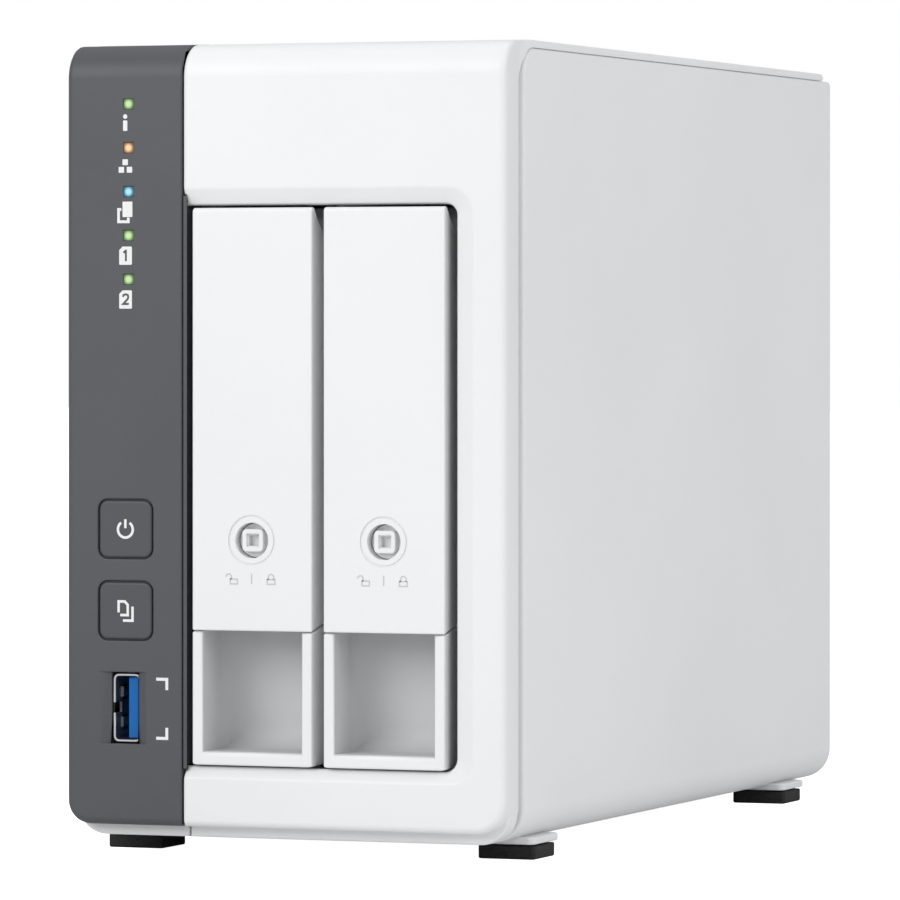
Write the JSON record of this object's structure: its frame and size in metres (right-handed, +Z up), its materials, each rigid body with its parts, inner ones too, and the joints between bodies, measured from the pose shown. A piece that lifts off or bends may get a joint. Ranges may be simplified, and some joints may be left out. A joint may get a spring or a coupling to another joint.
{
  "type": "network attached storage",
  "caption": "Upright desktop network storage box with lever-handled drive trays, a dark control panel, removable side covers and a rear fan.",
  "frame": {"origin": "floor level under the middle of the enclosure, at the feet's lower faces", "axes": "+Z up; the front with the trays and the control panel faces -Y; +X to the right seen from the front"},
  "size_m": [0.09, 0.2032, 0.1558],
  "materials": {
    "white_plastic": "fine satin",
    "dark_plastic": "fine satin",
    "black_plastic": "satin",
    "blue_plastic": "gloss",
    "clear_plastic": "frosted clear",
    "rubber": "matte",
    "painted_steel": "satin",
    "steel": "plated",
    "bare_aluminium": "extruded",
    "cast_aluminium": "cast",
    "circuit_board": "solder mask"
  },
  "bodies": {
    "chassis": {"front_top_cover": "white_plastic", "control_panel": "dark_plastic", "left_cover": "white_plastic", "right_cover": "white_plastic", "foot_front_left": "rubber", "foot_front_right": "rubber", "foot_rear_left": "rubber", "foot_rear_right": "rubber", "rear_panel": "painted_steel", "drive_cage": "painted_steel", "power_switch": "black_plastic", "copy_switch": "black_plastic", "light_pipes": "clear_plastic", "front_usb_shell": "steel", "front_usb_tongue": "blue_plastic", "rear_usb_shell_1": "steel", "rear_usb_shell_2": "steel", "rear_usb_tongue_1": "black_plastic", "rear_usb_tongue_2": "black_plastic", "mainboard": "circuit_board", "processor": "black_plastic", "heat_sink": "bare_aluminium", "front_panel_board": "circuit_board", "backplane_board": "circuit_board", "backplane_slot": "black_plastic", "sata_socket_1": "black_plastic", "sata_socket_2": "black_plastic", "lan_jack_1": "steel", "lan_jack_2": "steel", "dc_jack": "black_plastic", "dc_jack_pin": "steel", "fan_frame": "black_plastic", "fan_screw_1": "steel", "case_screw_1": "steel", "fan_screw_2": "steel", "case_screw_2": "steel", "fan_screw_3": "steel", "case_screw_3": "steel", "fan_screw_4": "steel", "case_screw_4": "steel"},
    "power_button": {"power_button": "dark_plastic"},
    "copy_button": {"copy_button": "dark_plastic"},
    "reset_button": {"reset_button": "black_plastic"},
    "fan_rotor": {"fan_rotor": "black_plastic"},
    "tray_1": {"drive_tray_1": "white_plastic", "hinge_pin_1": "steel", "hard_drive_1": "cast_aluminium", "drive_clip_1_lower": "white_plastic", "drive_clip_1_upper": "white_plastic"},
    "handle_1": {"tray_handle_1": "white_plastic"},
    "lock_1": {"tray_lock_1": "white_plastic"},
    "tray_2": {"drive_tray_2": "white_plastic", "hinge_pin_2": "steel", "hard_drive_2": "cast_aluminium", "drive_clip_2_lower": "white_plastic", "drive_clip_2_upper": "white_plastic"},
    "handle_2": {"tray_handle_2": "white_plastic"},
    "lock_2": {"tray_lock_2": "white_plastic"}
  },
  "joints": [
    {"name": "tray_1_slide", "type": "slide", "parent": "chassis", "child": "tray_1", "axis": [0, -1, 0], "range_m": [0, 0.15]},
    {"name": "handle_1_hinge", "type": "hinge", "parent": "tray_1", "child": "handle_1", "pos_m": [-0.00647, -0.0986, 0.117], "axis": [-1, 0, 0], "range_deg": [0, 50]},
    {"name": "lock_1_turn", "type": "hinge", "parent": "handle_1", "child": "lock_1", "pos_m": [-0.00647, -0.0994, 0.0607], "axis": [0, -1, 0], "range_deg": [0, 90]},
    {"name": "tray_2_slide", "type": "slide", "parent": "chassis", "child": "tray_2", "axis": [0, -1, 0], "range_m": [0, 0.15]},
    {"name": "handle_2_hinge", "type": "hinge", "parent": "tray_2", "child": "handle_2", "pos_m": [0.02048, -0.0986, 0.117], "axis": [-1, 0, 0], "range_deg": [0, 50]},
    {"name": "lock_2_turn", "type": "hinge", "parent": "handle_2", "child": "lock_2", "pos_m": [0.02048, -0.0994, 0.0607], "axis": [0, -1, 0], "range_deg": [0, 90]},
    {"name": "power_button_press", "type": "slide", "parent": "chassis", "child": "power_button", "axis": [0, 1, 0], "range_m": [0, 0.0008], "stiffness_N_per_m": 600},
    {"name": "copy_button_press", "type": "slide", "parent": "chassis", "child": "copy_button", "axis": [0, 1, 0], "range_m": [0, 0.0008], "stiffness_N_per_m": 600},
    {"name": "reset_button_press", "type": "slide", "parent": "chassis", "child": "reset_button", "axis": [0, -1, 0], "range_m": [0, 0.0008], "stiffness_N_per_m": 400},
    {"name": "fan_spin", "type": "hinge", "parent": "chassis", "child": "fan_rotor", "pos_m": [0.007, 0.0845, 0.078], "axis": [0, 1, 0], "continuous": true}
  ]
}
